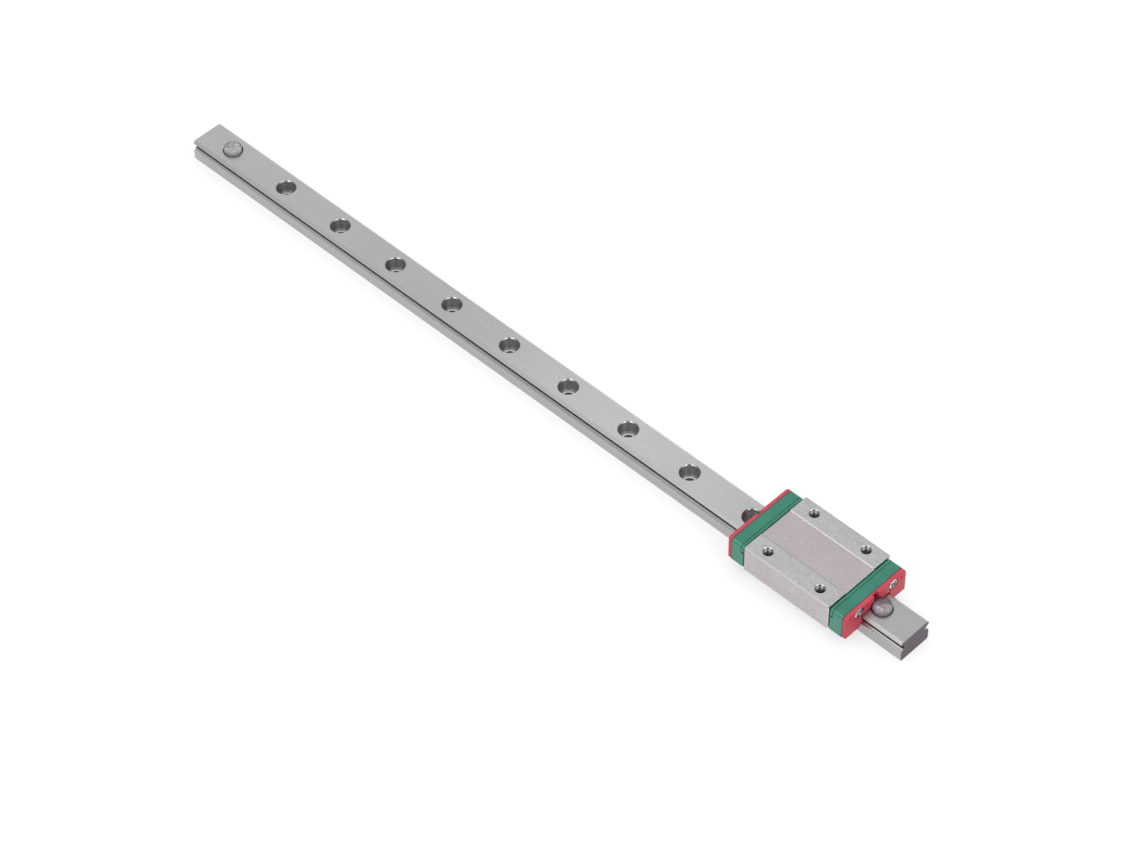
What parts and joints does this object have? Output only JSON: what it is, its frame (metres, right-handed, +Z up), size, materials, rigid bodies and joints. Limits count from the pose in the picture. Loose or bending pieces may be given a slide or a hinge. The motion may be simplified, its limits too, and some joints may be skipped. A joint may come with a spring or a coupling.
{
  "type": "profile linear guide rail",
  "caption": "Miniature profile rail guide: a ground steel rail with counterbored bolt holes and stop plugs, and a long ball carriage with threaded top holes, end caps and seals.",
  "frame": {"origin": "middle of the rail's underside", "axes": "+X along the rail towards the end where the carriage stands, +Z up out of the rail's top"},
  "size_m": [0.3, 0.027, 0.013],
  "materials": {
    "rail_steel": "fine ground, satin",
    "block_steel": "ground pads, blasted channel",
    "cap_plastic": "moulded, satin",
    "seal_rubber": "smooth",
    "screw_steel": "bright plated",
    "ball_steel": "polished",
    "wire_steel": "drawn",
    "plug_plastic": "smoky soft plastic"
  },
  "bodies": {
    "rail": {"rail": "rail_steel", "stop_plug_far": "plug_plastic", "stop_plug_near": "plug_plastic"},
    "carriage": {"carriage_block": "block_steel", "end_cap_front": "cap_plastic", "end_cap_rear": "cap_plastic", "end_seal_front": "seal_rubber", "end_seal_rear": "seal_rubber", "cap_screw_front_left": "screw_steel", "cap_screw_front_right": "screw_steel", "cap_screw_rear_left": "screw_steel", "cap_screw_rear_right": "screw_steel", "balls_left": "ball_steel", "balls_right": "ball_steel", "ball_wire_left": "wire_steel", "ball_wire_right": "wire_steel"}
  },
  "joints": [
    {"name": "carriage_slide", "type": "slide", "parent": "rail", "child": "carriage", "axis": [1, 0, 0], "range_m": [-0.2249, 0]}
  ]
}
